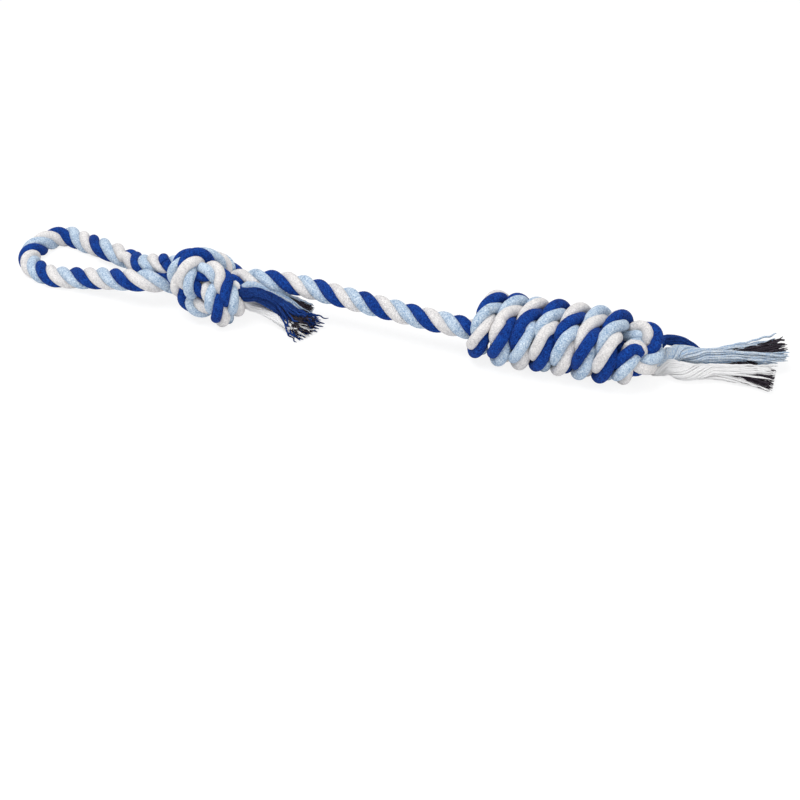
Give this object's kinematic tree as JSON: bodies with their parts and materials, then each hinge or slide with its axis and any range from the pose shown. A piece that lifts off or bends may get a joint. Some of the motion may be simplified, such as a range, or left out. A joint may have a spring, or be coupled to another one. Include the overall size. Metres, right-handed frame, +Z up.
{
  "type": "rope dog toy",
  "caption": "Cotton rope tug toy for dogs: hand loop, overhand knot with frayed tail, straight run, wound barrel and strand tassel.",
  "frame": {"origin": "middle of the toy's outline on the floor that it lies on", "axes": "+X from the hand loop to the tassel, +Y across the toy away from the viewer, +Z up"},
  "size_m": [0.5904, 0.0956, 0.0555],
  "materials": {
    "cotton_rope": "matte felted cotton",
    "cotton_blue": "matte felted cotton",
    "cotton_light_blue": "matte felted cotton",
    "cotton_white": "matte felted cotton",
    "core_yarn": "matte felted cotton"
  },
  "bodies": {
    "root": {"barrel_core_return": "cotton_rope", "barrel_core_standing": "cotton_rope", "barrel_winding": "cotton_rope", "end_bight": "cotton_rope", "end_tuck": "cotton_rope", "handle_knot_standing": "cotton_rope", "handle_knot_tail": "cotton_rope", "handle_loop": "cotton_rope", "main_rope": "cotton_rope", "tail_blue": "cotton_blue", "tail_blue_core": "core_yarn", "tail_light_blue": "cotton_light_blue", "tail_light_blue_core": "core_yarn", "tail_white": "cotton_white", "tail_white_core": "core_yarn", "tassel_blue": "cotton_blue", "tassel_blue_core": "core_yarn", "tassel_light_blue": "cotton_light_blue", "tassel_light_blue_core": "core_yarn", "tassel_white": "cotton_white", "tassel_white_core": "core_yarn"}
  },
  "joints": []
}
